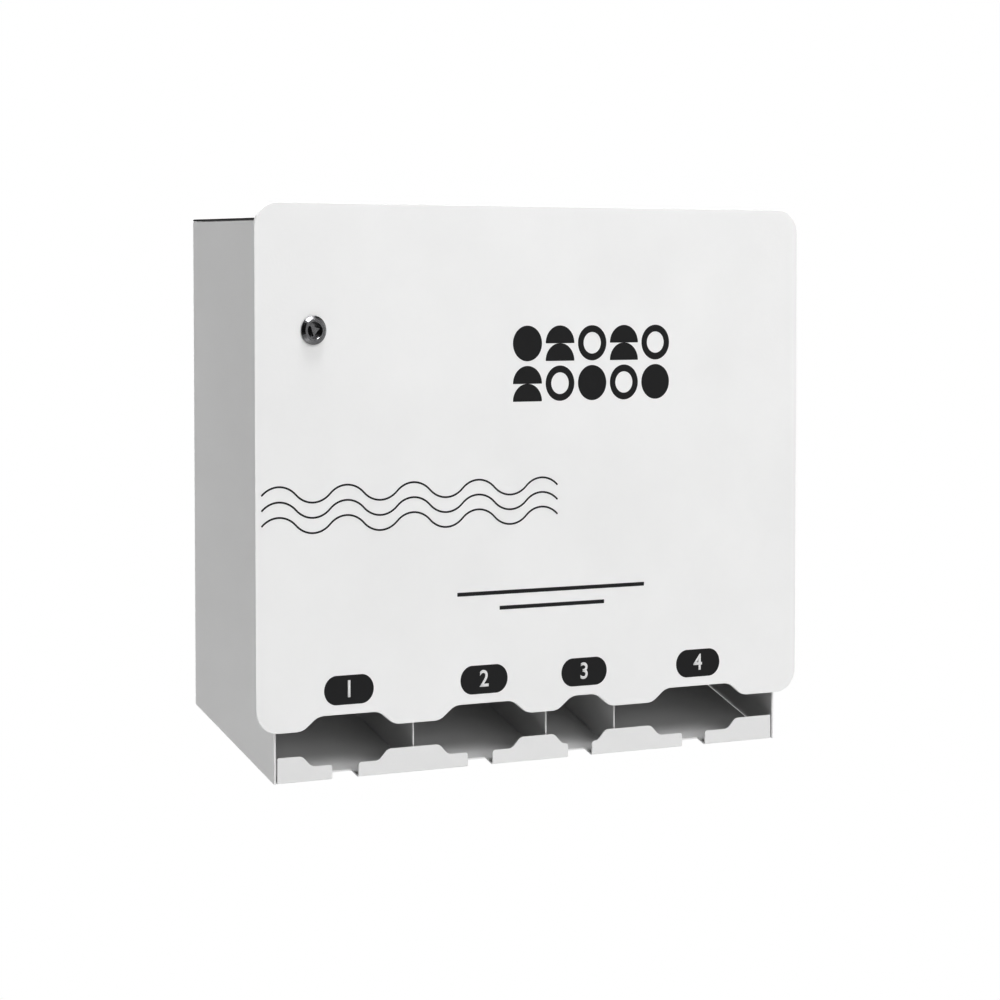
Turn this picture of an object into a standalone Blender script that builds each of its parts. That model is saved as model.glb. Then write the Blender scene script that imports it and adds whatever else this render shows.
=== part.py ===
# Wall-hung dispenser for wrapped sanitary products.
# A folded steel cabinet holds four stacks of products between three dividers. They slide down a
# sloping tray to its scalloped lip, where a finger lifts one out. A flat door, larger than the
# cabinet, swings on two hinges hidden behind its right edge and is held by a quarter-turn lock.
# Metres, +Z up, front towards -Y, left and right as seen from the front.
# The origin is on the outer face of the back, the face that meets the wall.

import math

import bmesh
import bpy
from mathutils import Vector

# Driving dimensions of the cabinet
CASE_DEPTH = 0.0970
CASE_HEIGHT = 0.3497
REAR_RISE = 0.0419
SHELL_SHEET = 0.0015
SHELL_BEND_RADIUS = 0.002
SHEET = 0.0012
BEND_RADIUS = 0.0015
EDGE_ROUND = 0.00025

# Gap between pieces that touch, and the overrun of every cut
SEAT_GAP = 0.0003
OVERRUN = 0.002

# Bays from left to right: two for pads, one for short tampons, one for long ones.
# Scallops and notches stand a little left of the middle of each bay.
PAD_BAY = 0.1030
SHORT_BAY = 0.0546
LONG_BAY = 0.1328
FIRST_BAY_SHIFT = 0.0004
BAY_SHIFT = 0.0014

# Tray
TRAY_SIDE_GAP = 0.0009
TRAY_DROP = 0.0004
TRAY_BEND = 0.0013
LIP_HEIGHT = 0.0165
LIP_DIP = 0.0069
LIP_CURVE = 0.006
LIP_CORNER = 0.002
LIP_END_CORNER = 0.001
PAD_LIP_SCALLOP = 0.0569
SHORT_LIP_SCALLOP = 0.0352
LONG_LIP_SCALLOP = 0.0654
FINGER_WIDTH = 0.0193
FINGER_DEPTH = 0.0083
TRAY_FLANGE = 0.014

# Dividers
DIVIDER_DROP = 0.0195
DIVIDER_CORNER = 0.025
DIVIDER_FLANGE = 0.012
DIVIDER_TAB = 0.010
TAB_PLACE_SHARES = (0.25, 0.75)

# Top panel and bumpers
TOP_FLANGE = 0.014
TOP_RELIEF = 0.0013
BUMPER_RADIUS = 0.004
BUMPER_INSET = 0.030
BUMPER_CROWN_SHARE = 0.7

# Door
DOOR_OVERHANG = 0.0153
DOOR_RISE = 0.0090
DOOR_FOOT = 0.0323
DOOR_SHEET = 0.002
DOOR_CORNER = 0.0161
DOOR_STANDOFF = 0.0023
DOOR_SCALLOP_RISE = 0.0088
DOOR_SCALLOP_RUN = 0.0116
DOOR_SCALLOP_CURVE = 0.0124
PAD_DOOR_SCALLOP = 0.0568
SHORT_DOOR_SCALLOP = 0.0313
LONG_DOOR_SCALLOP = 0.0654

# Hinges
HINGE_LENGTH = 0.060
HINGE_KNUCKLES = 5
KNUCKLE_RADIUS = 0.003
KNUCKLE_GAP = 0.0003
LEAF_SHEET = 0.0012
BODY_LEAF = 0.0215
DOOR_LEAF = 0.010
PIN_RADIUS = 0.0015
PIN_CLEARANCE = 0.0001
PIN_HEAD_RADIUS = 0.0023
PIN_HEAD_HEIGHT = 0.0008
HINGE_FOOT = 0.090
HINGE_DROP = 0.0445

# Rivets of the hinges
RIVET_RADIUS = 0.0016
RIVET_HEAD_RADIUS = 0.00325
RIVET_HEAD_HEIGHT = 0.0012
RIVET_UPSET_SHARE = 0.8
RIVET_DOME_SHARES = ((1, 0), (0.85, 0.6), (0.4, 1))
RIVET_SPACING = 0.040
RIVET_EDGE = 0.0065

# Wall screws: two keyhole slots above, two round holes below
SCREW_SIDE = 0.050
SCREW_DROP = 0.0397
SCREW_LIFT = 0.0481
SCREW_RADIUS = 0.0030
KEYHOLE_RADIUS = 0.0055
KEYHOLE_SLOT = 0.010

# Lock
LOCK_INSET = 0.0270
LOCK_DROP = 0.0681
HEAD_RADIUS = 0.0090
HEAD_FACE_RADIUS = 0.0071
HEAD_HEIGHT = 0.0021
HEAD_RIM_SHARE = 0.3
RECESS_RADIUS = 0.0052
RECESS_DEPTH = 0.0042
BARREL_RADIUS = 0.0078
BARREL_FLAT = 0.0070
BARREL_LENGTH = 0.0170
CORE_RADIUS = 0.0056
CORE_CLEARANCE = 0.0002
POST_RADIUS = 0.0039
POST_TURN = math.radians(258)
SQUARE_SIDE = 0.007
NUT_FLATS = 0.0215
NUT_HEIGHT = 0.004
WASHER_RADIUS = 0.0112
WASHER_SHEET = 0.001
CAM_SHEET = 0.002
CAM_REACH = 0.0235
CAM_WIDTH = 0.014
CAM_TIP_SHARE = 0.8
CAM_ROUND_SHARE = 0.9
CAM_WASHER_RADIUS = 0.0048
CAM_WASHER_SHEET = 0.0008
SCREW_SHANK = 0.0020
SCREW_HEAD_RADIUS = 0.0040
SCREW_HEAD_HEIGHT = 0.0026
SCREW_REACH = 0.009
SCREW_SLOT = 0.001
SCREW_CROWN_SHARE = 0.6

# Keeper of the lock
KEEPER_HEIGHT = 0.040
KEEPER_TONGUE = 0.012
KEEPER_LEG = 0.0115

# Smoothness of round shapes, in steps
CORNER_STEPS = 9
ROUND_STEPS = 40
SMALL_STEPS = 24
BEND_STEPS = 4

# Places that follow from the sizes above. The origin is midway between the wall screws.
HALF_CASE = (2 * PAD_BAY + SHORT_BAY + LONG_BAY + 3 * SHEET + 2 * SHELL_SHEET) / 2
INNER_SIDE = HALF_CASE - SHELL_SHEET
HALF_TRAY = INNER_SIDE - TRAY_SIDE_GAP
FRONT = -CASE_DEPTH
FLOOR_BASE = -(CASE_HEIGHT - SCREW_DROP + REAR_RISE + SCREW_LIFT) / 2
SHELL_TOP = FLOOR_BASE + CASE_HEIGHT
SCREW_X = HALF_CASE - SCREW_SIDE
SCREW_Z = SHELL_TOP - SCREW_DROP
SLOPE = REAR_RISE / CASE_DEPTH
LEAN = math.atan(SLOPE)
DOOR_BACK = FRONT - DOOR_STANDOFF
DOOR_FACE = DOOR_BACK - DOOR_SHEET
HALF_DOOR = HALF_CASE + DOOR_OVERHANG
TOP_LEVEL = SHELL_TOP + SEAT_GAP + SHEET
DIVIDER_FRONT = FRONT + SHEET + 2 * SEAT_GAP
BACK_FACE = -SHELL_SHEET - SEAT_GAP
LOCK_X = LOCK_INSET - HALF_CASE
LOCK_Z = SHELL_TOP - LOCK_DROP
HINGE_X = HALF_CASE + SEAT_GAP + KNUCKLE_RADIUS
HINGE_Y = DOOR_BACK + SEAT_GAP + KNUCKLE_RADIUS
HINGE_MIDDLES = {"lower": FLOOR_BASE + HINGE_FOOT, "upper": SHELL_TOP - HINGE_DROP}


def tray_level(y):
    """Height of the tray's underside at a depth y."""
    return FLOOR_BASE - TRAY_DROP + (y - FRONT) * SLOPE


def floor_level(y):
    """Height of the tray's upper face, on which the products slide."""
    return tray_level(y) + SHEET / math.cos(LEAN)


def bay_plan():
    """Divider places and, for each bay, its middle and the scallops of lip and door."""
    widths = (PAD_BAY, PAD_BAY, SHORT_BAY, LONG_BAY)
    lips = (PAD_LIP_SCALLOP, PAD_LIP_SCALLOP, SHORT_LIP_SCALLOP, LONG_LIP_SCALLOP)
    doors = (PAD_DOOR_SCALLOP, PAD_DOOR_SCALLOP, SHORT_DOOR_SCALLOP, LONG_DOOR_SCALLOP)
    shifts = (FIRST_BAY_SHIFT, BAY_SHIFT, BAY_SHIFT, BAY_SHIFT)
    bays = []
    edge = -INNER_SIDE
    for width, lip, door, shift in zip(widths, lips, doors, shifts):
        bays.append({"left": edge, "middle": edge + width / 2 - shift, "lip": lip, "door": door})
        edge += width + SHEET
    return bays


# Materials

def finish(name, colour, roughness, metallic):
    material = bpy.data.materials.new(name)
    material.use_nodes = True
    shader = material.node_tree.nodes["Principled BSDF"]
    shader.inputs["Base Color"].default_value = (*colour, 1.0)
    shader.inputs["Roughness"].default_value = roughness
    shader.inputs["Metallic"].default_value = metallic
    return material


# Building tools

def add_node(name, shape, material, origin=(0, 0, 0), turn=(0, 0, 0)):
    """Make an object of a finished shape that was drawn about the given origin."""
    bmesh.ops.recalc_face_normals(shape, faces=shape.faces)
    return add_sheet(name, shape, material, origin, turn)


def add_sheet(name, shape, material, origin=(0, 0, 0), turn=(0, 0, 0)):
    """Make an object of an open sheet whose faces already point outwards."""
    mesh = bpy.data.meshes.new(name)
    shape.to_mesh(mesh)
    shape.free()
    mesh.materials.append(material)
    node = bpy.data.objects.new(name, mesh)
    node.location = origin
    node.rotation_euler = turn
    bpy.context.scene.collection.objects.link(node)
    return node


def soften(node):
    """Round shapes are shaded smooth and keep their sharp edges."""
    node.data.shade_smooth()
    node.data.set_sharp_from_angle(angle=math.radians(35))


def fillet(corners):
    """Outline through corners (u, v, radius), each rounded by its radius."""
    outline = []
    for index, (u, v, radius) in enumerate(corners):
        here = Vector((u, v))
        before = Vector(corners[index - 1][:2]) - here
        after = Vector(corners[(index + 1) % len(corners)][:2]) - here
        if radius == 0:
            outline.append(here)
            continue
        half = before.angle(after) / 2
        reach = min(radius / math.tan(half), before.length / 2, after.length / 2)
        inward = (before.normalized() + after.normalized()).normalized()
        centre = here + inward * reach / math.cos(half)
        arm = here + before.normalized() * reach - centre
        sweep = math.pi - 2 * half
        if before.cross(after) > 0:
            sweep = -sweep
        steps = max(2, round(CORNER_STEPS * abs(sweep) / (math.pi / 2)))
        for step in range(steps + 1):
            angle = sweep * step / steps
            turned = Vector((arm.x * math.cos(angle) - arm.y * math.sin(angle),
                             arm.x * math.sin(angle) + arm.y * math.cos(angle)))
            outline.append(centre + turned)
    return outline


def circle(radius, steps, centre=(0, 0), start=0, sweep=2 * math.pi):
    """Points of a circle, or of an arc when the sweep is shorter."""
    count = steps if sweep == 2 * math.pi else steps + 1
    points = []
    for step in range(count):
        angle = start + sweep * step / steps
        points.append((centre[0] + radius * math.cos(angle), centre[1] + radius * math.sin(angle)))
    return points


def prism(outline, low, high, axis="Z", shape=None):
    """Straight solid: an outline across the axis, drawn out from low to high along it."""
    place = {"X": lambda u, v, w: (w, u, v), "Y": lambda u, v, w: (u, w, v), "Z": lambda u, v, w: (u, v, w)}
    shape = shape or bmesh.new()
    base = shape.faces.new([shape.verts.new(place[axis](u, v, low)) for u, v in outline])
    top = bmesh.ops.extrude_face_region(shape, geom=[base])
    lifted = [item for item in top["geom"] if isinstance(item, bmesh.types.BMVert)]
    bmesh.ops.translate(shape, verts=lifted, vec=place[axis](0, 0, high - low))
    return shape


def block(low, high, shape=None):
    """Square-edged solid between two corners."""
    outline = ((low[0], low[1]), (high[0], low[1]), (high[0], high[1]), (low[0], high[1]))
    return prism(outline, low[2], high[2], "Z", shape)


def turned(profile, steps):
    """Solid of revolution about Z, from a profile of (radius, height) points."""
    shape = bmesh.new()
    verts = [shape.verts.new((radius, 0, height)) for radius, height in profile]
    edges = [shape.edges.new((verts[i - 1], verts[i])) for i in range(1, len(verts))]
    if profile[0][0] > 0:
        edges.append(shape.edges.new((verts[-1], verts[0])))
    bmesh.ops.spin(shape, geom=verts + edges, cent=(0, 0, 0), axis=(0, 0, 1),
                   angle=2 * math.pi, steps=steps, use_merge=True)
    bmesh.ops.remove_doubles(shape, verts=shape.verts, dist=SEAT_GAP / 10)
    return shape


def panel(shape, points, outward):
    """Add one flat panel of a sheet, facing outward."""
    corners = [Vector(point) for point in points]
    area = Vector((0, 0, 0))
    for index in range(len(corners)):
        area += corners[index - 1].cross(corners[index])
    if area.dot(Vector(outward)) < 0:
        corners.reverse()
    shape.faces.new([shape.verts.new(corner) for corner in corners])


def bend(shape, radius):
    """Join panels along their shared fold lines and round each fold to the radius."""
    bmesh.ops.remove_doubles(shape, verts=shape.verts, dist=SEAT_GAP / 10)
    turns = []
    for edge in shape.edges:
        if len(edge.link_faces) == 2:
            angle = edge.calc_face_angle()
            if not any(abs(angle - turn) < math.radians(1) for turn in turns):
                turns.append(angle)
    for turn in turns:
        folds = [edge for edge in shape.edges if len(edge.link_faces) == 2
                 and abs(edge.calc_face_angle() - turn) < math.radians(1)]
        bmesh.ops.bevel(shape, geom=folds, offset=radius * math.tan(turn / 2), offset_type="OFFSET",
                        segments=BEND_STEPS, profile=0.5, affect="EDGES", material=-1)


def thicken(node, thickness):
    """Give a sheet its thickness, inwards from the face that was drawn."""
    solid = node.modifiers.new("Sheet thickness", "SOLIDIFY")
    solid.thickness = thickness
    solid.offset = -1
    solid.use_even_offset = True


def round_edges(node, width, steps=1):
    """Ease the cut edges as a powder coat does."""
    ease = node.modifiers.new("Eased edges", "BEVEL")
    ease.width = width
    ease.segments = steps
    ease.limit_method = "ANGLE"
    ease.angle_limit = math.radians(50)
    ease.use_clamp_overlap = False


def combine(node, shape, operation, label):
    """Cut a shape out of a node, or join it to the node. The shape stays as a wire guide."""
    bmesh.ops.recalc_face_normals(shape, faces=shape.faces)
    mesh = bpy.data.meshes.new(label)
    shape.to_mesh(mesh)
    shape.free()
    guide = bpy.data.objects.new(label, mesh)
    guide.display_type = "WIRE"
    guide.hide_render = True
    guide.parent = node
    bpy.context.scene.collection.objects.link(guide)
    boolean = node.modifiers.new(label, "BOOLEAN")
    boolean.operation = operation
    boolean.solver = "EXACT"
    boolean.object = guide
    return guide


def cut(node, shape, label):
    combine(node, shape, "DIFFERENCE", label)


def join(node, shape, label):
    combine(node, shape, "UNION", label)


def carry(axis, nodes):
    """Parent pieces to the empty on their joint's axis, where they are."""
    bpy.context.view_layer.update()
    for node in nodes:
        node.parent = axis
        node.matrix_parent_inverse = axis.matrix_world.inverted()


def axis_empty(name, place):
    empty = bpy.data.objects.new(name, None)
    empty.location = place
    bpy.context.scene.collection.objects.link(empty)
    return empty


# Cabinet shell: left side, back and right side folded from one sheet

def keyhole_cutter(shape, x):
    """Head hole with a narrow slot above it, cut through the back."""
    slot_end = SCREW_Z + KEYHOLE_SLOT / 2
    head = slot_end - KEYHOLE_SLOT
    half = math.asin(SCREW_RADIUS / KEYHOLE_RADIUS)
    outline = circle(KEYHOLE_RADIUS, SMALL_STEPS, (x, head), math.pi / 2 + half, 2 * math.pi - 2 * half)
    outline += circle(SCREW_RADIUS, SMALL_STEPS // 2, (x, slot_end), 0, math.pi)
    prism(outline, -SHELL_SHEET - OVERRUN, OVERRUN, "Y", shape)


def rivet_places():
    """Middle of each rivet of a hinge, across the side wall."""
    depth = HINGE_Y + BODY_LEAF - RIVET_EDGE
    return {(where, end): (depth, middle + side * RIVET_SPACING / 2)
            for where, middle in HINGE_MIDDLES.items()
            for end, side in (("lower", -1), ("upper", 1))}


def make_shell(white):
    rear = FLOOR_BASE + REAR_RISE
    shape = bmesh.new()
    for side in (-1, 1):
        wall = side * HALF_CASE
        panel(shape, ((wall, FRONT, FLOOR_BASE), (wall, FRONT, SHELL_TOP), (wall, 0, SHELL_TOP),
                      (wall, 0, rear)), (side, 0, 0))
    panel(shape, ((-HALF_CASE, 0, rear), (HALF_CASE, 0, rear), (HALF_CASE, 0, SHELL_TOP),
                  (-HALF_CASE, 0, SHELL_TOP)), (0, 1, 0))
    bend(shape, SHELL_BEND_RADIUS)
    shell = add_sheet("body_shell", shape, white)
    thicken(shell, SHELL_SHEET)
    round_edges(shell, EDGE_ROUND)
    holes = bmesh.new()
    for side in (-1, 1):
        keyhole_cutter(holes, side * SCREW_X)
        outline = circle(SCREW_RADIUS, SMALL_STEPS, (side * SCREW_X, -SCREW_Z))
        prism(outline, -SHELL_SHEET - OVERRUN, OVERRUN, "Y", holes)
    cut(shell, holes, "wall_screw_holes")
    holes = bmesh.new()
    for place in rivet_places().values():
        outline = circle(RIVET_RADIUS + SEAT_GAP, SMALL_STEPS, place)
        prism(outline, INNER_SIDE - OVERRUN, HALF_CASE + OVERRUN, "X", holes)
    cut(shell, holes, "hinge_rivet_holes")
    return shell


# Top panel: a flat sheet on the shell's upper edges, with one flange turned down at the front

def make_top(white):
    relief_end = INNER_SIDE - SEAT_GAP
    flange_end = relief_end - TOP_RELIEF
    notch = FRONT + BEND_RADIUS + SHEET
    corners = [(-HALF_CASE, 0, SHELL_BEND_RADIUS), (-HALF_CASE, FRONT, 0), (-relief_end, FRONT, 0),
               (-relief_end, notch, 0), (-flange_end, notch, 0), (-flange_end, FRONT, 0)]
    corners += [(-x, y, radius) for x, y, radius in reversed(corners)]
    shape = bmesh.new()
    panel(shape, [(x, y, TOP_LEVEL) for x, y in fillet(corners)], (0, 0, 1))
    flange = TOP_LEVEL - TOP_FLANGE
    panel(shape, ((-flange_end, FRONT, TOP_LEVEL), (flange_end, FRONT, TOP_LEVEL),
                  (flange_end, FRONT, flange), (-flange_end, FRONT, flange)), (0, -1, 0))
    bend(shape, BEND_RADIUS)
    top = add_sheet("top_panel", shape, white)
    thicken(top, SHEET)
    round_edges(top, EDGE_ROUND)
    return top


def make_bumper(side, rubber):
    """Rubber button on the top panel's flange, on which the closed door rests."""
    level = TOP_LEVEL - TOP_FLANGE / 2
    height = DOOR_STANDOFF - 2 * SEAT_GAP
    crown = BUMPER_RADIUS * BUMPER_CROWN_SHARE
    profile = ((0, 0), (BUMPER_RADIUS, 0), (BUMPER_RADIUS, height / 2), (crown, height), (0, height))
    place = (side * (INNER_SIDE - BUMPER_INSET), FRONT - SEAT_GAP, level)
    name = "door_bumper_left" if side < 0 else "door_bumper_right"
    bumper = add_node(name, turned(profile, SMALL_STEPS), rubber, place, (math.pi / 2, 0, 0))
    soften(bumper)
    return bumper


# Tray: a sloping floor with a scalloped lip in front and a flange turned up behind

def lip_pieces():
    """Outlines (x, height) of the lip's stretches between the finger notches."""
    base = FLOOR_BASE - TRAY_DROP
    high = FLOOR_BASE + LIP_HEIGHT
    low = high - LIP_DIP
    pieces = []
    outline = [(-HALF_TRAY, base, 0), (-HALF_TRAY, high, LIP_END_CORNER)]
    for bay in bay_plan():
        middle = bay["middle"]
        dip = bay["lip"] / 2
        finger = FINGER_WIDTH / 2
        outline += [(middle - dip - LIP_DIP / 2, high, LIP_CURVE), (middle - dip + LIP_DIP / 2, low, LIP_CURVE),
                    (middle - finger, low, LIP_CORNER), (middle - finger, base, 0)]
        pieces.append(outline)
        outline = [(middle + finger, base, 0), (middle + finger, low, LIP_CORNER),
                   (middle + dip - LIP_DIP / 2, low, LIP_CURVE), (middle + dip + LIP_DIP / 2, high, LIP_CURVE)]
    outline += [(HALF_TRAY, high, LIP_END_CORNER), (HALF_TRAY, base, 0)]
    pieces.append(outline)
    return pieces


def floor_outline():
    """Outline (x, y) of the tray's floor, with finger notches in front."""
    outline = [(-HALF_TRAY, FRONT)]
    for bay in bay_plan():
        left = bay["middle"] - FINGER_WIDTH / 2
        right = bay["middle"] + FINGER_WIDTH / 2
        inner = FRONT + FINGER_DEPTH
        outline += [(left, FRONT), (left, inner), (right, inner), (right, FRONT)]
    outline += [(HALF_TRAY, FRONT), (HALF_TRAY, BACK_FACE), (-HALF_TRAY, BACK_FACE)]
    return outline


def tab_places():
    """Depths of the two tabs of each divider, which drop into slots in the tray."""
    length = BACK_FACE - DIVIDER_FRONT
    return [DIVIDER_FRONT + length * share for share in TAB_PLACE_SHARES]


def make_tray(white):
    shape = bmesh.new()
    panel(shape, [(x, y, tray_level(y)) for x, y in floor_outline()], (0, 0, -1))
    for corners in lip_pieces():
        panel(shape, [(x, FRONT, z) for x, z in fillet(corners)], (0, -1, 0))
    rear = tray_level(BACK_FACE)
    panel(shape, ((-HALF_TRAY, BACK_FACE, rear), (HALF_TRAY, BACK_FACE, rear),
                  (HALF_TRAY, BACK_FACE, rear + TRAY_FLANGE), (-HALF_TRAY, BACK_FACE, rear + TRAY_FLANGE)),
          (0, 1, 0))
    bend(shape, TRAY_BEND)
    tray = add_sheet("dispensing_tray", shape, white)
    thicken(tray, SHEET)
    round_edges(tray, EDGE_ROUND)
    slots = bmesh.new()
    for bay in bay_plan()[1:]:
        middle = bay["left"] - SHEET / 2
        for depth in tab_places():
            half = DIVIDER_TAB / 2 + SEAT_GAP
            across = SHEET / 2 + SEAT_GAP
            block((middle - across, depth - half, tray_level(depth) - OVERRUN - half),
                  (middle + across, depth + half, floor_level(depth) + OVERRUN + half), slots)
    cut(tray, slots, "divider_slots")
    return tray


# Dividers: upright sheets with a flange at the back and two tabs in the tray

def divider_outline():
    """Side view (y, z) of a divider, with its fold line at the back."""
    def foot(y):
        return floor_level(y) + SEAT_GAP

    step = tray_level(BACK_FACE) + TRAY_FLANGE + 2 * SEAT_GAP
    inner = BACK_FACE - SHEET - 2 * SEAT_GAP - BEND_RADIUS
    top = SHELL_TOP - DIVIDER_DROP
    corners = [(DIVIDER_FRONT, foot(DIVIDER_FRONT), 0)]
    for depth in tab_places():
        near = depth - DIVIDER_TAB / 2
        far = depth + DIVIDER_TAB / 2
        corners += [(near, foot(near), 0), (near, tray_level(near) + SEAT_GAP, 0),
                    (far, tray_level(far) + SEAT_GAP, 0), (far, foot(far), 0)]
    corners += [(inner, foot(inner), 0), (inner, step, 0), (BACK_FACE, step, 0), (BACK_FACE, top, 0),
                (DIVIDER_FRONT, top, DIVIDER_CORNER)]
    return fillet(corners), step, top


def make_divider(name, left_face, white):
    """The sheet's left face is drawn, and its flange turns right, against the back."""
    outline, step, top = divider_outline()
    shape = bmesh.new()
    panel(shape, [(left_face, y, z) for y, z in outline], (-1, 0, 0))
    flange = left_face + DIVIDER_FLANGE
    panel(shape, ((left_face, BACK_FACE, step), (flange, BACK_FACE, step), (flange, BACK_FACE, top),
                  (left_face, BACK_FACE, top)), (0, 1, 0))
    bend(shape, BEND_RADIUS)
    divider = add_sheet(name, shape, white)
    thicken(divider, SHEET)
    round_edges(divider, EDGE_ROUND)
    return divider


# Door: a flat sheet that stands out past the cabinet, scalloped above each bay

def door_outline():
    """Front view (x, z) of the door."""
    low = FLOOR_BASE + DOOR_FOOT
    high = low + DOOR_SCALLOP_RISE
    top = TOP_LEVEL + DOOR_RISE
    corners = [(-HALF_DOOR, low, DOOR_CORNER)]
    for bay in bay_plan():
        middle = bay["middle"]
        dip = bay["door"] / 2
        run = DOOR_SCALLOP_RUN / 2
        curve = DOOR_SCALLOP_CURVE
        corners += [(middle - dip - run, low, curve), (middle - dip + run, high, curve),
                    (middle + dip - run, high, curve), (middle + dip + run, low, curve)]
    corners += [(HALF_DOOR, low, DOOR_CORNER), (HALF_DOOR, top, DOOR_CORNER), (-HALF_DOOR, top, DOOR_CORNER)]
    return fillet(corners)


def flatted_circle(radius, flat):
    """Circle with two upright flats, as a lock barrel and its hole have."""
    reach = math.asin(flat / radius)
    side = CORNER_STEPS * 2
    outline = circle(radius, side, (0, 0), math.pi / 2 - reach, 2 * reach)
    outline += circle(radius, side, (0, 0), 3 * math.pi / 2 - reach, 2 * reach)
    return outline


def make_door(white):
    origin = Vector((HINGE_X, HINGE_Y, 0))
    outline = [(x - origin.x, z) for x, z in door_outline()]
    shape = prism(outline, DOOR_FACE - origin.y, DOOR_BACK - origin.y, "Y")
    door = add_node("door_panel", shape, white, origin)
    round_edges(door, EDGE_ROUND, 2)
    hole = [(x + LOCK_X - origin.x, z + LOCK_Z)
            for x, z in flatted_circle(BARREL_RADIUS + SEAT_GAP, BARREL_FLAT + SEAT_GAP)]
    cut(door, prism(hole, DOOR_FACE - origin.y - OVERRUN, DOOR_BACK - origin.y + OVERRUN, "Y"), "lock_hole")
    return door


# Hinges: interleaved knuckles of a cabinet leaf and a door leaf on one pin

def knuckle_outline(strip):
    """Knuckle seen from above, with the strip that runs into its leaf along +v."""
    inner = LEAF_SHEET - KNUCKLE_RADIUS
    meet = math.acos(inner / KNUCKLE_RADIUS)
    outline = circle(KNUCKLE_RADIUS, SMALL_STEPS, (0, 0), math.pi, math.pi + meet)
    outline += [(inner, strip), (-KNUCKLE_RADIUS, strip)]
    return outline


def knuckle_rows(first):
    """Low and high end of every second knuckle, from the first given."""
    pitch = (HINGE_LENGTH + KNUCKLE_GAP) / HINGE_KNUCKLES
    rows = []
    for index in range(first, HINGE_KNUCKLES, 2):
        low = index * pitch - HINGE_LENGTH / 2
        rows.append((low, low + pitch - KNUCKLE_GAP))
    return rows


def make_leaf(name, middle, width, first, on_door, steel):
    """One leaf. The cabinet's runs back along the wall, and the door's runs outward behind it."""
    start = KNUCKLE_RADIUS + SEAT_GAP
    strip = start + LEAF_SHEET

    def seen(points):
        return [(v, u) for u, v in points] if on_door else points

    plate = ((-KNUCKLE_RADIUS, start), (LEAF_SHEET - KNUCKLE_RADIUS, start),
             (LEAF_SHEET - KNUCKLE_RADIUS, width), (-KNUCKLE_RADIUS, width))
    origin = (HINGE_X, HINGE_Y, middle)
    half = HINGE_LENGTH / 2
    leaf = add_node(name, prism(seen(plate), -half, half), steel, origin)
    knuckles = bmesh.new()
    for low, high in knuckle_rows(first):
        prism(seen(knuckle_outline(strip)), low, high, "Z", knuckles)
    join(leaf, knuckles, name + "_knuckles")
    bore = circle(PIN_RADIUS + PIN_CLEARANCE, SMALL_STEPS)
    cut(leaf, prism(bore, -half - OVERRUN, half + OVERRUN), name + "_bore")
    if not on_door:
        holes = bmesh.new()
        for side in (-1, 1):
            place = (width - RIVET_EDGE, side * RIVET_SPACING / 2)
            outline = circle(RIVET_RADIUS + SEAT_GAP, SMALL_STEPS, place)
            prism(outline, -KNUCKLE_RADIUS - OVERRUN, LEAF_SHEET - KNUCKLE_RADIUS + OVERRUN, "X", holes)
        cut(leaf, holes, name + "_rivet_holes")
    return leaf


def make_pin(name, middle, steel):
    end = HINGE_LENGTH / 2 + SEAT_GAP
    tip = end + PIN_HEAD_HEIGHT
    rim = end + PIN_HEAD_HEIGHT / 2
    crown = PIN_RADIUS
    profile = ((0, -tip), (crown, -tip), (PIN_HEAD_RADIUS, -rim), (PIN_HEAD_RADIUS, -end), (PIN_RADIUS, -end),
               (PIN_RADIUS, end), (PIN_HEAD_RADIUS, end), (PIN_HEAD_RADIUS, rim), (crown, tip), (0, tip))
    pin = add_node(name, turned(profile, SMALL_STEPS), steel, (HINGE_X, HINGE_Y, middle))
    soften(pin)
    return pin


def make_rivet(name, place, steel):
    """Domed head on the leaf, shank through leaf and wall, upset end inside the cabinet."""
    grip = SHELL_SHEET + LEAF_SHEET + 3 * SEAT_GAP
    dome = RIVET_HEAD_HEIGHT
    upset = RIVET_HEAD_RADIUS * RIVET_UPSET_SHARE
    profile = [(0, -dome), (upset, -dome), (upset, 0), (RIVET_RADIUS, 0), (RIVET_RADIUS, grip)]
    profile += [(RIVET_HEAD_RADIUS * wide, grip + dome * tall) for wide, tall in RIVET_DOME_SHARES]
    profile.append((0, grip + dome))
    origin = (INNER_SIDE - SEAT_GAP, place[0], place[1])
    rivet = add_node(name, turned(profile, SMALL_STEPS), steel, origin, (0, math.pi / 2, 0))
    soften(rivet)
    return rivet


# Lock: drawn about its axis, with z towards the viewer and y up, from the door's front face

FRONT_VIEW = (math.pi / 2, 0, 0)
HEAD_SEAT = SEAT_GAP
HEAD_FACE = HEAD_SEAT + HEAD_HEIGHT
BARREL_END = HEAD_SEAT - BARREL_LENGTH
CORE_FACE = HEAD_FACE - RECESS_DEPTH
CAM_SEAT = BARREL_END - 2 * SEAT_GAP
CAM_BACK = CAM_SEAT - CAM_SHEET
LOCK_PLACE = (LOCK_X, DOOR_FACE, LOCK_Z)


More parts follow.
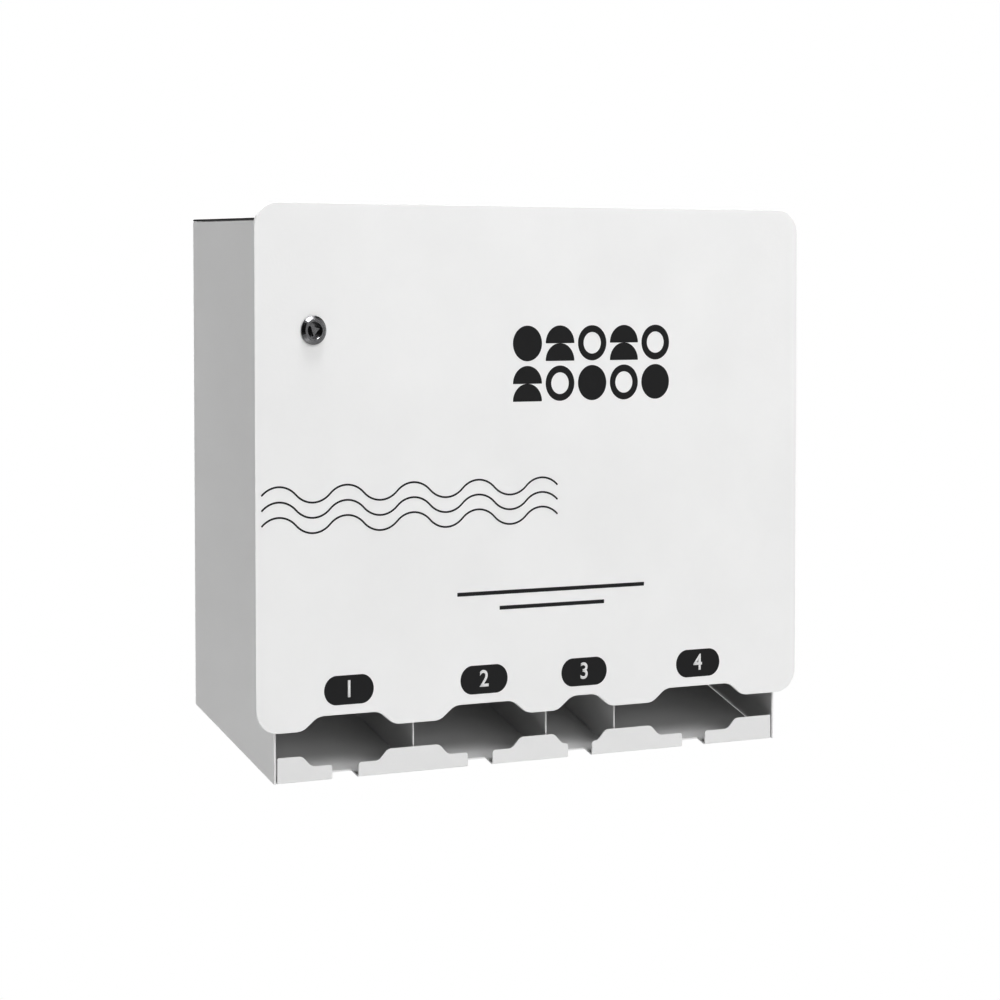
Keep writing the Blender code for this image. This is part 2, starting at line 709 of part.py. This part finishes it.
def make_housing(steel):
    rim = HEAD_SEAT + HEAD_HEIGHT * HEAD_RIM_SHARE
    bore = CORE_RADIUS + CORE_CLEARANCE
    shoulder = CORE_FACE + CORE_CLEARANCE
    profile = ((RECESS_RADIUS, HEAD_FACE - EDGE_ROUND), (RECESS_RADIUS + EDGE_ROUND, HEAD_FACE),
               (HEAD_FACE_RADIUS, HEAD_FACE), (HEAD_RADIUS, rim), (HEAD_RADIUS, HEAD_SEAT),
               (BARREL_RADIUS, HEAD_SEAT), (BARREL_RADIUS, BARREL_END), (bore, BARREL_END),
               (bore, shoulder), (RECESS_RADIUS, shoulder))
    housing = add_node("lock_housing", turned(profile, ROUND_STEPS), steel, LOCK_PLACE, FRONT_VIEW)
    soften(housing)
    flats = bmesh.new()
    for side in (-1, 1):
        near = side * BARREL_FLAT
        far = side * (BARREL_RADIUS + OVERRUN)
        block((min(near, far), -HEAD_RADIUS, BARREL_END - OVERRUN),
              (max(near, far), HEAD_RADIUS, HEAD_SEAT), flats)
    cut(housing, flats, "barrel_flats")
    return housing


def ring(name, inner, outer, low, high, material, steps=ROUND_STEPS):
    """Flat ring on the lock's axis."""
    profile = ((inner, low), (inner, high), (outer, high), (outer, low))
    return add_node(name, turned(profile, steps), material, LOCK_PLACE, FRONT_VIEW)


def make_nut(steel):
    front = -DOOR_SHEET - 3 * SEAT_GAP - WASHER_SHEET
    back = front - NUT_HEIGHT
    corner = NUT_FLATS / 2 / math.cos(math.pi / 6)
    nut = add_node("lock_nut", prism(circle(corner, 6, start=math.pi / 6), back, front), steel, LOCK_PLACE,
                   FRONT_VIEW)
    round_edges(nut, EDGE_ROUND)
    bore = circle(BARREL_RADIUS + SEAT_GAP, ROUND_STEPS)
    cut(nut, prism(bore, back - OVERRUN, front + OVERRUN), "nut_bore")
    return nut


def make_core(steel):
    """Turning core: three-sided post in the recess, square tail for the cam, bore for its screw."""
    tail = CAM_BACK + SEAT_GAP
    profile = ((0, BARREL_END - SEAT_GAP), (CORE_RADIUS, BARREL_END - SEAT_GAP), (CORE_RADIUS, CORE_FACE),
               (0, CORE_FACE))
    core = add_node("lock_core", turned(profile, ROUND_STEPS), steel, LOCK_PLACE, FRONT_VIEW)
    post = circle(POST_RADIUS, 3, start=POST_TURN)
    join(core, prism(post, CORE_FACE - SEAT_GAP, HEAD_FACE - 2 * SEAT_GAP), "key_post")
    half = SQUARE_SIDE / 2
    join(core, block((-half, -half, tail), (half, half, BARREL_END + SEAT_GAP)), "square_tail")
    bore = circle(SCREW_SHANK + SEAT_GAP, SMALL_STEPS)
    cut(core, prism(bore, tail - OVERRUN, CAM_BACK + SCREW_REACH + SEAT_GAP), "screw_bore")
    return core


def make_cam(steel):
    """Flat cam with a square hole. It hangs down when the lock is open."""
    half = CAM_WIDTH / 2
    tip = half * CAM_TIP_SHARE
    crown = half * CAM_ROUND_SHARE
    corners = ((-half, half, crown), (-half, -CAM_REACH / 2, LIP_CORNER), (-tip, -CAM_REACH, LIP_CORNER),
               (tip, -CAM_REACH, LIP_CORNER), (half, -CAM_REACH / 2, LIP_CORNER), (half, half, crown))
    cam = add_node("lock_cam", prism(fillet(corners), CAM_BACK, CAM_SEAT), steel, LOCK_PLACE, FRONT_VIEW)
    hole = SQUARE_SIDE / 2 + SEAT_GAP
    cut(cam, block((-hole, -hole, CAM_BACK - OVERRUN), (hole, hole, CAM_SEAT + OVERRUN)), "square_hole")
    return cam


def make_cam_screw(steel):
    seat = CAM_BACK - 2 * SEAT_GAP - CAM_WASHER_SHEET
    top = seat - SCREW_HEAD_HEIGHT
    crown = SCREW_HEAD_RADIUS * SCREW_CROWN_SHARE
    profile = ((0, top), (crown, top), (SCREW_HEAD_RADIUS, top + SCREW_HEAD_HEIGHT / 2),
               (SCREW_HEAD_RADIUS, seat), (SCREW_SHANK, seat), (SCREW_SHANK, CAM_BACK + SCREW_REACH),
               (0, CAM_BACK + SCREW_REACH))
    screw = add_node("cam_screw", turned(profile, SMALL_STEPS), steel, LOCK_PLACE, FRONT_VIEW)
    soften(screw)
    half = SCREW_SLOT / 2
    cut(screw, block((-half, -SCREW_HEAD_RADIUS - OVERRUN, top - OVERRUN),
                     (half, SCREW_HEAD_RADIUS + OVERRUN, top + SCREW_HEAD_HEIGHT / 3)), "driver_slot")
    return screw


# Keeper: an angle bracket welded inside the left wall, with its tongue just in front of the cam

def make_keeper(steel):
    outer = -INNER_SIDE + SEAT_GAP
    back = DOOR_FACE - CAM_SEAT - SEAT_GAP
    low = LOCK_Z - KEEPER_HEIGHT / 2
    high = LOCK_Z + KEEPER_HEIGHT / 2
    shape = bmesh.new()
    panel(shape, ((outer, back - KEEPER_LEG, low), (outer, back, low), (outer, back, high),
                  (outer, back - KEEPER_LEG, high)), (-1, 0, 0))
    panel(shape, ((outer, back, low), (outer + KEEPER_TONGUE, back, low), (outer + KEEPER_TONGUE, back, high),
                  (outer, back, high)), (0, 1, 0))
    bend(shape, BEND_RADIUS)
    keeper = add_sheet("lock_keeper", shape, steel)
    thicken(keeper, SHEET)
    return keeper


# Assembly

def clear_scene():
    for item in list(bpy.data.objects):
        bpy.data.objects.remove(item, do_unlink=True)


def build():
    clear_scene()
    white = finish("white_powder_coat", (0.86, 0.86, 0.86), 0.45, 0.0)
    zinc = finish("zinc_plated_steel", (0.62, 0.62, 0.60), 0.35, 1.0)
    nickel = finish("dark_nickel", (0.30, 0.30, 0.30), 0.30, 1.0)
    rubber = finish("black_rubber", (0.03, 0.03, 0.03), 0.80, 0.0)

    make_shell(white)
    make_top(white)
    make_tray(white)
    names = ("divider_left", "divider_middle", "divider_right")
    for name, bay in zip(names, bay_plan()[1:]):
        make_divider(name, bay["left"] - SHEET, white)
    make_keeper(zinc)
    for side in (-1, 1):
        make_bumper(side, rubber)
    for (where, end), place in rivet_places().items():
        make_rivet("hinge_%s_rivet_%s" % (where, end), place, zinc)

    door_parts = [make_door(white)]
    for where, middle in HINGE_MIDDLES.items():
        make_leaf("hinge_%s_body_leaf" % where, middle, BODY_LEAF, 0, False, zinc)
        door_parts.append(make_leaf("hinge_%s_door_leaf" % where, middle, DOOR_LEAF, 1, True, zinc))
        make_pin("hinge_%s_pin" % where, middle, zinc)

    door_parts.append(make_housing(nickel))
    washer_front = -DOOR_SHEET - 2 * SEAT_GAP
    door_parts.append(ring("lock_washer", BARREL_RADIUS + SEAT_GAP, WASHER_RADIUS,
                           washer_front - WASHER_SHEET, washer_front, zinc))
    door_parts.append(make_nut(zinc))

    washer_back = CAM_BACK - SEAT_GAP
    cam_washer = ring("cam_washer", SCREW_SHANK + SEAT_GAP, CAM_WASHER_RADIUS,
                      washer_back - CAM_WASHER_SHEET, washer_back, zinc, SMALL_STEPS)
    lock_parts = [make_core(nickel), make_cam(zinc), cam_washer, make_cam_screw(zinc)]

    door_axis = axis_empty("door_axis", (HINGE_X, HINGE_Y, 0))
    lock_axis = axis_empty("lock_axis", LOCK_PLACE)
    carry(door_axis, door_parts + [lock_axis])
    carry(lock_axis, lock_parts)
    bpy.context.view_layer.update()


build()
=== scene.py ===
import math

import bmesh
import bpy
from mathutils import Matrix, Vector


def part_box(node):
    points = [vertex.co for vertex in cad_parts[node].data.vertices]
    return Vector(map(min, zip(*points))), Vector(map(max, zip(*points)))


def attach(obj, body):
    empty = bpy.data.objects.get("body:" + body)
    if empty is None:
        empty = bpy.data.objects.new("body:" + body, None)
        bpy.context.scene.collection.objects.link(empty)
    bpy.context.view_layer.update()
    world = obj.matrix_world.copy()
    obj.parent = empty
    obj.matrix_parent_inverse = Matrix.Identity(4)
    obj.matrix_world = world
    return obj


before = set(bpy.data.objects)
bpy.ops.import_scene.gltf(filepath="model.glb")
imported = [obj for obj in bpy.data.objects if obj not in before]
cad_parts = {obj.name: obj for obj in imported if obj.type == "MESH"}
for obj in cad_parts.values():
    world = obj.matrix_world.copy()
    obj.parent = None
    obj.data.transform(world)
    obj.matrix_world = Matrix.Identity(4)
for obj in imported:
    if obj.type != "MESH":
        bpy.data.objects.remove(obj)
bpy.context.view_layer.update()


# Studio.
# The camera looks slightly down on the cabinet from its left. The cabinet hangs at its usual height
# above a plain pale floor, in soft light from all round and brightest in front.

SENSOR_WIDTH = 36
LENS_SHARE = 3.55357
CAMERA_PLACE = (-1.34539, -1.96727, 0.10689)
CAMERA_TURNS = (90 - 3.3934, 0.0096, -35.1471)
CONTRAST_GAMMA = 0.75
AMBIENT_STRENGTH = 0.032
FLOOR_DROP = 1.5
FLOOR_HALF_WIDTH = 3.2
FLOOR_GLOW = 0.265

camera = bpy.data.objects.new("camera", bpy.data.cameras.new("camera"))
camera.data.sensor_width = SENSOR_WIDTH
camera.data.lens = SENSOR_WIDTH * LENS_SHARE
camera.location = CAMERA_PLACE
camera.rotation_euler = [math.radians(turn) for turn in CAMERA_TURNS]
bpy.context.scene.collection.objects.link(camera)
bpy.context.scene.camera = camera
bpy.context.scene.view_settings.view_transform = "Standard"
bpy.context.scene.view_settings.gamma = CONTRAST_GAMMA

world = bpy.data.worlds.new("studio")
world.use_nodes = True
bpy.context.scene.world = world
nodes = world.node_tree.nodes
links = world.node_tree.links
ambient = nodes["Background"]
ambient.inputs["Color"].default_value = (1, 1, 1, 1)
ambient.inputs["Strength"].default_value = AMBIENT_STRENGTH
backdrop = nodes.new("ShaderNodeBackground")
backdrop.inputs["Color"].default_value = (1, 1, 1, 1)
backdrop.inputs["Strength"].default_value = 1.0
rays = nodes.new("ShaderNodeLightPath")
either = nodes.new("ShaderNodeMixShader")
links.new(rays.outputs["Is Camera Ray"], either.inputs["Fac"])
links.new(ambient.outputs["Background"], either.inputs[1])
links.new(backdrop.outputs["Background"], either.inputs[2])
links.new(either.outputs["Shader"], nodes["World Output"].inputs["Surface"])


def softbox(name, place, target, width, height, power):
    """Soft light turned to its target, its power in watts, that the camera doesn't see."""
    light = bpy.data.lights.new(name, "AREA")
    light.shape = "RECTANGLE"
    light.size = width
    light.size_y = height
    light.energy = power
    lamp = bpy.data.objects.new(name, light)
    lamp.visible_camera = False
    lamp.location = place
    lamp.rotation_euler = (Vector(target) - Vector(place)).to_track_quat("-Z", "Y").to_euler()
    bpy.context.scene.collection.objects.link(lamp)
    return lamp


softbox("front_softbox", (1.3, -8.2, 1.3), (0, 0, -0.1), 7.2, 7.0, 219)
softbox("right_softbox", (5.0, -3.0, 0.9), (0, 0, 0), 4.6, 4.4, 55)
softbox("high_softbox", (0.45, -1.9, 2.45), (-0.1, -0.1, 0.1), 2.8, 1.3, 52)
softbox("left_softbox", (-4.0, 0.9, 0.4), (0, 0, -0.1), 2.0, 2.0, 66)
softbox("back_softbox", (1.2, 4.5, 1.6), (0, 0, 0), 3.0, 3.0, 100)
softbox("top_softbox", (-0.1, -0.3, 2.6), (-0.1, -0.3, 0), 1.6, 0.6, 13)
softbox("low_softbox", (0.0, -1.2, -1.4), (-0.1, -0.1, 0), 1.6, 1.2, 8.5)


def keep_to(lamp, *nodes_named):
    """Let a lamp light only the carried-over pieces named."""
    lit = bpy.data.collections.new(lamp.name + "_pieces")
    for name in nodes_named:
        lit.objects.link(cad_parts[name])
    lamp.light_linking.receiver_collection = lit


# Two more boxes: one rakes down the door, so the lock throws its long soft shadow, and one gives
# the lock's bevel its white highlight.
raking = softbox("raking_softbox", (-0.12, -0.44, 2.6), (-0.12, -0.12, 0), 0.7, 0.6, 48)
keep_to(raking, "door_panel", "lock_housing", "lock_core")
sparkle = softbox("lock_softbox", (0.41, -1.77, 2.28), (-0.1, -0.1, 0.1), 2.5, 1.15, 80)
keep_to(sparkle, "lock_housing", "lock_core")

shape = bmesh.new()
bmesh.ops.create_grid(shape, x_segments=1, y_segments=1, size=FLOOR_HALF_WIDTH)
bmesh.ops.translate(shape, verts=shape.verts, vec=(0, 0, -FLOOR_DROP))
mesh = bpy.data.meshes.new("floor")
shape.to_mesh(mesh)
shape.free()
floor = bpy.data.objects.new("floor", mesh)
bpy.context.scene.collection.objects.link(floor)
paint = bpy.data.materials.new("pale_floor")
paint.use_nodes = True
surface = paint.node_tree.nodes["Principled BSDF"].inputs
surface["Base Color"].default_value = (0.88, 0.88, 0.87, 1)
surface["Roughness"].default_value = 0.9
surface["Emission Color"].default_value = (1, 1, 1, 1)
surface["Emission Strength"].default_value = FLOOR_GLOW
mesh.materials.append(paint)


# Cabinet shell.
# Left side, back and right side, folded from one steel sheet and powder-coated white. The coat has
# a fine orange peel, and smudges change its gloss a little.

CLOUD_SCALE = 14
SMUDGE_SCALE = 45
PEEL_SCALE = 520
GRIT_SCALE = 2600
GRIT_SHARE = 0.25
PEEL_DEPTH = 0.00006


def new_finish(name):
    """Material with a Principled shader, its node tree and a link function."""
    material = bpy.data.materials.new(name)
    material.use_nodes = True
    tree = material.node_tree
    return material, tree, tree.nodes["Principled BSDF"], tree.links.new


def grain(tree, scale, detail, stretch=(1, 1, 1)):
    """Noise on Object coordinates, in spots of about 1 / scale metres."""
    place = tree.nodes.new("ShaderNodeTexCoord")
    spread = tree.nodes.new("ShaderNodeMapping")
    spread.inputs["Scale"].default_value = stretch
    noise = tree.nodes.new("ShaderNodeTexNoise")
    noise.inputs["Scale"].default_value = scale
    noise.inputs["Detail"].default_value = detail
    tree.links.new(place.outputs["Object"], spread.inputs["Vector"])
    tree.links.new(spread.outputs["Vector"], noise.inputs["Vector"])
    return noise.outputs["Fac"]


def spread_to(tree, value, low, high):
    """Map the middle range of a noise value onto low to high."""
    ramp = tree.nodes.new("ShaderNodeMapRange")
    ramp.inputs["From Min"].default_value = 0.3
    ramp.inputs["From Max"].default_value = 0.7
    ramp.inputs["To Min"].default_value = low
    ramp.inputs["To Max"].default_value = high
    tree.links.new(value, ramp.inputs["Value"])
    return ramp.outputs["Result"]


def tint(tree, value, dark, light):
    """Blend two colours by a value from 0 to 1."""
    mix = tree.nodes.new("ShaderNodeMix")
    mix.data_type = "RGBA"
    mix.inputs["A"].default_value = (*dark, 1)
    mix.inputs["B"].default_value = (*light, 1)
    tree.links.new(value, mix.inputs["Factor"])
    return mix.outputs["Result"]


def relief(tree, height, depth, strength):
    """Bump of a real depth in metres."""
    bump = tree.nodes.new("ShaderNodeBump")
    bump.inputs["Distance"].default_value = depth
    bump.inputs["Strength"].default_value = strength
    tree.links.new(height, bump.inputs["Height"])
    return bump.outputs["Normal"]


def powder_coat(name, light, dark, shine):
    """Coat with cloudy tone, orange peel, fine grit, and smudges that change its gloss."""
    material, tree, shader, link = new_finish(name)
    cloud = spread_to(tree, grain(tree, CLOUD_SCALE, 3), 0, 1)
    link(tint(tree, cloud, dark, light), shader.inputs["Base Color"])
    smudge = spread_to(tree, grain(tree, SMUDGE_SCALE, 4), shine - 0.05, shine + 0.07)
    link(smudge, shader.inputs["Roughness"])
    peel = tree.nodes.new("ShaderNodeMath")
    peel.operation = "MULTIPLY_ADD"
    peel.inputs[1].default_value = GRIT_SHARE
    link(grain(tree, GRIT_SCALE, 1), peel.inputs[0])
    link(grain(tree, PEEL_SCALE, 2), peel.inputs[2])
    link(relief(tree, peel.outputs["Value"], PEEL_DEPTH, 0.6), shader.inputs["Normal"])
    shader.inputs["Specular IOR Level"].default_value = 0.4
    return material


def dress(material, *nodes_named):
    """Give carried-over pieces a finish."""
    for name in nodes_named:
        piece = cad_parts[name]
        piece.data.materials.clear()
        piece.data.materials.append(material)


cabinet_white = powder_coat("cabinet_powder_coat", (0.87, 0.87, 0.87), (0.845, 0.845, 0.845), 0.42)
dress(cabinet_white, "body_shell")


# Top panel.
# A flat sheet welded onto the shell's upper edges. Its edge band above the sides is painted near-black
# as painted shade, standing in for the shaded groove between the sheet and the sides' bent upper edges.

SHADE_BAND_START = 0.1998


def top_coat():
    material, tree, shader, link = new_finish("top_panel_coat")
    place = tree.nodes.new("ShaderNodeTexCoord")
    split = tree.nodes.new("ShaderNodeSeparateXYZ")
    link(place.outputs["Object"], split.inputs["Vector"])
    aside = tree.nodes.new("ShaderNodeMath")
    aside.operation = "ABSOLUTE"
    link(split.outputs["X"], aside.inputs[0])
    edge = tree.nodes.new("ShaderNodeMath")
    edge.operation = "GREATER_THAN"
    edge.inputs[1].default_value = SHADE_BAND_START
    link(aside.outputs["Value"], edge.inputs[0])
    cloud = spread_to(tree, grain(tree, CLOUD_SCALE, 3), 0, 1)
    white = tint(tree, cloud, (0.80, 0.80, 0.80), (0.83, 0.83, 0.83))
    # Beyond the edge limit on either side the colour is painted shade: near-black with faint streaks,
    # for the groove's shadow.
    shade_streaks = spread_to(tree, grain(tree, 900, 2, (0.15, 1, 1)), 0, 1)
    painted_groove_shade = tint(tree, shade_streaks, (0.030, 0.030, 0.031), (0.055, 0.055, 0.055))
    mix = tree.nodes.new("ShaderNodeMix")
    mix.data_type = "RGBA"
    link(edge.outputs["Value"], mix.inputs["Factor"])
    link(white, mix.inputs["A"])
    link(painted_groove_shade, mix.inputs["B"])
    link(mix.outputs["Result"], shader.inputs["Base Color"])
    link(spread_to(tree, grain(tree, SMUDGE_SCALE, 4), 0.38, 0.5), shader.inputs["Roughness"])
    link(relief(tree, grain(tree, PEEL_SCALE, 2), PEEL_DEPTH, 0.6), shader.inputs["Normal"])
    return material


dress(top_coat(), "top_panel")


# Tray and dividers.
# Sheet steel with the same coat, polished a little by the products that slide over it.

tray_white = powder_coat("tray_powder_coat", (0.85, 0.85, 0.85), (0.82, 0.82, 0.82), 0.40)
dress(tray_white, "dispensing_tray", "divider_left", "divider_middle", "divider_right")


# Small steel parts.
# Hinges, rivets, keeper, and the lock's nut, washers and cam are zinc-plated, with a faintly mottled
# satin surface.


def zinc_plate(name, scale, stretch):
    material, tree, shader, link = new_finish(name)
    bloom = spread_to(tree, grain(tree, scale, 4, stretch), 0, 1)
    link(tint(tree, bloom, (0.46, 0.47, 0.49), (0.66, 0.66, 0.65)), shader.inputs["Base Color"])
    link(spread_to(tree, grain(tree, scale * 2.3, 3, stretch), 0.28, 0.46), shader.inputs["Roughness"])
    link(relief(tree, grain(tree, scale * 6, 2, stretch), 0.00002, 0.5), shader.inputs["Normal"])
    shader.inputs["Metallic"].default_value = 1.0
    return material


rolled_zinc = zinc_plate("rolled_zinc_plate", 260, (1, 1, 0.2))
turned_zinc = zinc_plate("turned_zinc_plate", 420, (1, 1, 1))
dress(rolled_zinc, "hinge_lower_body_leaf", "hinge_lower_door_leaf", "hinge_upper_body_leaf",
      "hinge_upper_door_leaf", "lock_keeper", "lock_cam")
dress(turned_zinc, "hinge_lower_pin", "hinge_upper_pin", "hinge_lower_rivet_lower",
      "hinge_lower_rivet_upper", "hinge_upper_rivet_lower", "hinge_upper_rivet_upper", "lock_washer",
      "lock_nut", "cam_washer", "cam_screw")


# Bumpers.
# Moulded black rubber buttons on the cabinet's front flange, on which the closed door rests.


def moulded_rubber():
    material, tree, shader, link = new_finish("bumper_rubber")
    dust = spread_to(tree, grain(tree, 700, 4), 0, 1)
    link(tint(tree, dust, (0.018, 0.018, 0.018), (0.035, 0.034, 0.033)), shader.inputs["Base Color"])
    link(spread_to(tree, grain(tree, 1200, 2), 0.7, 0.9), shader.inputs["Roughness"])
    link(relief(tree, grain(tree, 4000, 1), 0.00003, 0.6), shader.inputs["Normal"])
    return material


dress(moulded_rubber(), "door_bumper_left", "door_bumper_right")


# Door.
# A flat steel panel with eased edges and round corners, in the same white coat, printed in dark grey
# on its front.

door_white = powder_coat("door_powder_coat", (0.845, 0.845, 0.845), (0.82, 0.82, 0.82), 0.38)
dress(door_white, "door_panel")


# Door print.
# Screen-printed in two matt inks: a tile pattern, a band of waves and two rules in dark grey, and above
# each bay a dark badge with its number in white. Each layer of ink is a few hundredths of a millimetre
# thick.

INK_THICKNESS = 0.00004
INK_GAP = 0.00001
MERGE_GAP = 0.000005
ROUND_STEPS = 64
BAY_MIDDLES = (-0.1474, -0.0442, 0.0358, 0.1307)
BADGE_LEVEL = -0.1435
BADGE_RADIUS = 0.0092
BADGE_HALF_RUN = 0.0092
NUMBER_SIZE = 0.0150
NUMBER_SWELL = 0.0003
TILE = 0.026
FIRST_TILE = (-0.010, 0.046)
MOTIF_SHARE = 0.44
RING_HOLE_SHARE = 0.62
TILE_ROWS = (("domes", "ring", "disc", "ring", "disc"), ("disc", "domes", "ring", "domes", "ring"))
WAVE_LINES = 3
WAVE_BOWS = 9
WAVE_BOW = 0.0125
WAVE_WIDTH = 0.0011
WAVE_STEP = 0.0095
WAVE_START = (-0.1985, -0.020)
RULE_HEIGHT = 0.0024
RULES = (("print_rule_long", 0.150, 0.010, -0.088),
         ("print_rule_short", 0.084, 0.010, -0.098))


def printing_ink(name, dark, light):
    material, tree, shader, link = new_finish(name)
    screen = spread_to(tree, grain(tree, 1400, 3), 0, 1)
    link(tint(tree, screen, dark, light), shader.inputs["Base Color"])
    link(spread_to(tree, grain(tree, 60, 3), 0.5, 0.62), shader.inputs["Roughness"])
    link(relief(tree, grain(tree, 3000, 1), 0.00001, 0.5), shader.inputs["Normal"])
    return material


dark_ink = printing_ink("dark_printing_ink", (0.009, 0.009, 0.010), (0.015, 0.015, 0.016))
white_ink = printing_ink("white_printing_ink", (0.80, 0.80, 0.80), (0.86, 0.86, 0.86))


def sweep_of(shape, near, far, angle, steps, start=0.0, centre=(0, 0)):
    """Flat strip between two radii, swept about a centre."""
    middle = Vector((*centre, 0))
    turn = Matrix.Rotation(start, 3, "Z")
    ends = [shape.verts.new(middle + turn @ Vector((radius, 0, 0))) for radius in (near, far)]
    edge = shape.edges.new(ends)
    bmesh.ops.spin(shape, geom=ends + [edge], cent=middle, axis=(0, 0, 1), angle=angle,
                   steps=steps, use_merge=angle >= 2 * math.pi)


def printed(name, shape, x, z, ink=dark_ink, layer=0):
    """Give flat faces the ink's thickness and lay them on the door's front, or on an earlier layer."""
    bmesh.ops.remove_doubles(shape, verts=shape.verts, dist=MERGE_GAP)
    raised = bmesh.ops.extrude_face_region(shape, geom=list(shape.faces))
    lifted = [item for item in raised["geom"] if isinstance(item, bmesh.types.BMVert)]
    bmesh.ops.translate(shape, verts=lifted, vec=(0, 0, INK_THICKNESS))
    bmesh.ops.recalc_face_normals(shape, faces=shape.faces)
    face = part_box("door_panel")[0][1]
    face -= INK_GAP + layer * (INK_THICKNESS + INK_GAP)
    lay = Matrix.Translation((x, face, z)) @ Matrix.Rotation(math.radians(90), 4, "X")
    bmesh.ops.transform(shape, matrix=lay, verts=shape.verts)
    mesh = bpy.data.meshes.new(name)
    shape.to_mesh(mesh)
    shape.free()
    mesh.materials.append(ink)
    piece = bpy.data.objects.new(name, mesh)
    bpy.context.scene.collection.objects.link(piece)
    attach(piece, "door")


def tile(motif, column, row):
    """One motif of the tile pattern, drawn in its square."""
    shape = bmesh.new()
    reach = TILE * MOTIF_SHARE
    if motif == "disc":
        bmesh.ops.create_circle(shape, cap_ends=True, radius=reach, segments=ROUND_STEPS)
    elif motif == "ring":
        sweep_of(shape, reach * RING_HOLE_SHARE, reach, 2 * math.pi, ROUND_STEPS)
    else:
        for foot in (0, -reach):
            sweep_of(shape, 0.0, reach, math.pi, ROUND_STEPS // 2, 0.0, (0, foot))
    x, z = FIRST_TILE[0] + column * TILE, FIRST_TILE[1] + row * TILE
    printed("print_tile_%d_%d" % (column, row), shape, x, z)


for row, motifs in enumerate(TILE_ROWS):
    for column, motif in enumerate(motifs):
        tile(motif, column, row)

for line in range(WAVE_LINES):
    shape = bmesh.new()
    for crest in range(WAVE_BOWS):
        turn = math.radians(45 if crest % 2 == 0 else 225)
        side = -1 if crest % 2 == 0 else 1
        reach = WAVE_BOW * math.sqrt(2)
        middle = (crest * 2 * WAVE_BOW, side * WAVE_BOW)
        sweep_of(shape, reach - WAVE_WIDTH / 2, reach + WAVE_WIDTH / 2, math.pi / 2,
                 ROUND_STEPS // 4, turn, middle)
    printed("print_wave_%d" % line, shape, WAVE_START[0], WAVE_START[1] - line * WAVE_STEP)

for name, width, x, z in RULES:
    shape = bmesh.new()
    bmesh.ops.create_grid(shape, x_segments=1, y_segments=1, size=0.5)
    bmesh.ops.scale(shape, vec=(width, RULE_HEIGHT, 1), verts=shape.verts)
    printed(name, shape, x, z)

for number, middle in enumerate(BAY_MIDDLES, 1):
    shape = bmesh.new()
    half_step = Matrix.Rotation(math.pi / ROUND_STEPS, 4, "Z")
    bmesh.ops.create_circle(shape, cap_ends=True, radius=BADGE_RADIUS, segments=ROUND_STEPS,
                            matrix=half_step)
    for side in (-1, 1):
        end = [vertex for vertex in shape.verts if vertex.co.x * side > 0]
        bmesh.ops.translate(shape, verts=end, vec=(side * BADGE_HALF_RUN, 0, 0))
    printed("print_badge_%d" % number, shape, middle, BADGE_LEVEL)
    letter = bpy.data.curves.new("number", "FONT")
    letter.body = str(number)
    letter.size = NUMBER_SIZE
    letter.align_x = "CENTER"
    letter.align_y = "CENTER"
    letter.offset = NUMBER_SWELL
    drawn = bpy.data.objects.new("number", letter)
    bpy.context.scene.collection.objects.link(drawn)
    bpy.context.view_layer.update()
    flat = bpy.data.meshes.new_from_object(drawn)
    bpy.data.objects.remove(drawn)
    shape = bmesh.new()
    shape.from_mesh(flat)
    bpy.data.meshes.remove(flat)
    printed("print_number_%d" % number, shape, middle, BADGE_LEVEL, white_ink, 1)


# Lock.
# Dark nickel-plated zinc: a turned head with a bevelled rim, and a three-sided post in its recess.

NICKEL_LIGHT = (0.24, 0.24, 0.245)
NICKEL_DARK = (0.195, 0.195, 0.20)


def dark_nickel(name, shine):
    material, tree, shader, link = new_finish(name)
    wear = spread_to(tree, grain(tree, 600, 4), 0, 1)
    link(tint(tree, wear, NICKEL_DARK, NICKEL_LIGHT), shader.inputs["Base Color"])
    link(spread_to(tree, grain(tree, 1500, 3), shine - 0.06, shine + 0.08), shader.inputs["Roughness"])
    link(relief(tree, grain(tree, 3000, 2), 0.00001, 0.5), shader.inputs["Normal"])
    shader.inputs["Metallic"].default_value = 1.0
    return material


dress(dark_nickel("lock_head_nickel", 0.20), "lock_housing")
dress(dark_nickel("lock_core_nickel", 0.24), "lock_core")
